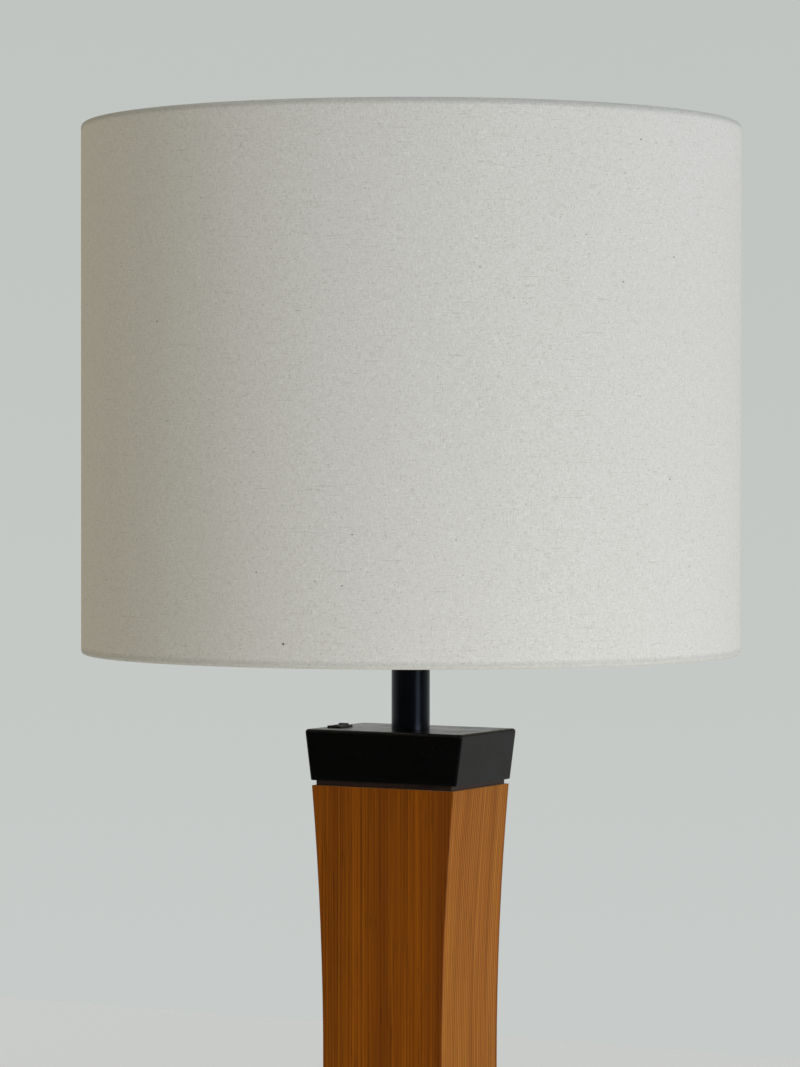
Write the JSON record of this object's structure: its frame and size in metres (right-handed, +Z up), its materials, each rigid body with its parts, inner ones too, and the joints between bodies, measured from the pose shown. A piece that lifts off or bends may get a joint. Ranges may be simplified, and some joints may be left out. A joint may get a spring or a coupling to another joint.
{
  "type": "column table lamp",
  "caption": "Table lamp with a waisted rectangular teak-veneered column between tapered black blocks, a switch in the cap, a dark stem and a wide linen drum shade.",
  "frame": {"origin": "centre of the lamp's outline on the plane that its foot pads stand on, under the axis of the column, stem, bulb and shade", "axes": "+Z up the lamp's axis; +X to the right and -Y towards the viewer, seen from the column's wide front face; the switch is at the front left of the cap (-X, -Y) and the cord inlet is in the back of the base (+Y)"},
  "size_m": [0.4, 0.4, 0.774],
  "materials": {
    "black_lacquered_wood": "gloss black lacquer",
    "dark_stained_wood": "satin dark stain",
    "teak_veneer": "satin oiled",
    "core_board": "raw board",
    "cast_iron_ballast": "as cast",
    "steel_fasteners": "zinc plated",
    "steel_plate": "satin",
    "black_rubber": "matt",
    "black_plastic": "matt moulded",
    "black_gloss_plastic": "gloss moulded",
    "contact_brass": "plain",
    "black_stem_paint": "semi-gloss black",
    "white_wire_paint": "white powder coat",
    "natural_linen": "fine slub weave",
    "liner_plastic": "matt white sheet",
    "opal_glass": "opal",
    "bulb_cap_metal": "plain",
    "white_plastic": "matt moulded",
    "brown_insulation": "smooth",
    "blue_insulation": "smooth"
  },
  "bodies": {
    "base": {"base_block": "black_lacquered_wood", "base_cover": "steel_plate", "cover_screws": "steel_fasteners", "foot_pads": "black_rubber", "cord_gland": "black_rubber", "terminal_block": "white_plastic", "terminal_screw": "steel_fasteners", "tie_rod": "steel_fasteners", "rod_washer": "steel_fasteners", "rod_nut": "steel_fasteners", "lower_spacer": "dark_stained_wood", "upper_spacer": "dark_stained_wood", "foot_block": "core_board", "head_block": "core_board", "alignment_dowels": "core_board", "ballast_block": "cast_iron_ballast", "board_front": "core_board", "board_back": "core_board", "board_left": "core_board", "board_right": "core_board", "veneer_front": "teak_veneer", "veneer_back": "teak_veneer", "veneer_left": "teak_veneer", "veneer_right": "teak_veneer", "cap_block": "black_lacquered_wood", "switch_housing": "black_plastic", "switch_common_terminal": "contact_brass", "switch_load_terminal": "contact_brass", "lead_live": "brown_insulation", "lead_neutral": "blue_insulation", "lead_switched": "brown_insulation", "stem_tube": "black_stem_paint", "stem_bushes": "black_plastic", "holder_cup": "black_plastic", "holder_shell": "black_plastic", "holder_insert": "white_plastic", "holder_screw_shell": "contact_brass", "holder_centre_contact": "contact_brass", "holder_side_contact": "contact_brass"},
    "rocker": {"switch_rocker": "black_gloss_plastic", "switch_plunger": "white_plastic", "switch_spring": "steel_fasteners"},
    "lever": {"switch_lever": "contact_brass"},
    "shade": {"shade_cover": "natural_linen", "shade_liner": "liner_plastic", "shade_top_ring": "white_wire_paint", "shade_bottom_ring": "white_wire_paint", "fitter_arms": "white_wire_paint", "fitter_ring": "white_wire_paint"},
    "ring": {"shade_ring": "black_plastic"},
    "bulb": {"bulb_tip": "contact_brass", "bulb_insulator": "black_gloss_plastic", "bulb_cap": "bulb_cap_metal", "bulb_globe": "opal_glass", "bulb_led_module": "white_plastic"}
  },
  "joints": [
    {"name": "rocker_tilt", "type": "hinge", "parent": "base", "child": "rocker", "pos_m": [-0.044, -0.01, 0.4075], "axis": [1, 0, 0], "range_deg": [-20, 0]},
    {"name": "lever_tilt", "type": "hinge", "parent": "base", "child": "lever", "pos_m": [-0.044, -0.01, 0.39985], "axis": [1, 0, 0], "range_deg": [0, 12]},
    {"name": "shade_turn", "type": "hinge", "parent": "base", "child": "shade", "pos_m": [0, 0, 0.48], "axis": [0, 0, 1], "continuous": true},
    {"name": "shade_ring_slide", "type": "slide", "parent": "base", "child": "ring", "axis": [0, 0, 1], "range_m": [0, 0.018]},
    {"name": "bulb_slide", "type": "slide", "parent": "base", "child": "bulb", "axis": [0, 0, 1], "range_m": [0, 0.027]}
  ],
  "couplings": [
    {"joint": "lever_tilt", "follows": "rocker_tilt", "ratio": -0.6}
  ]
}
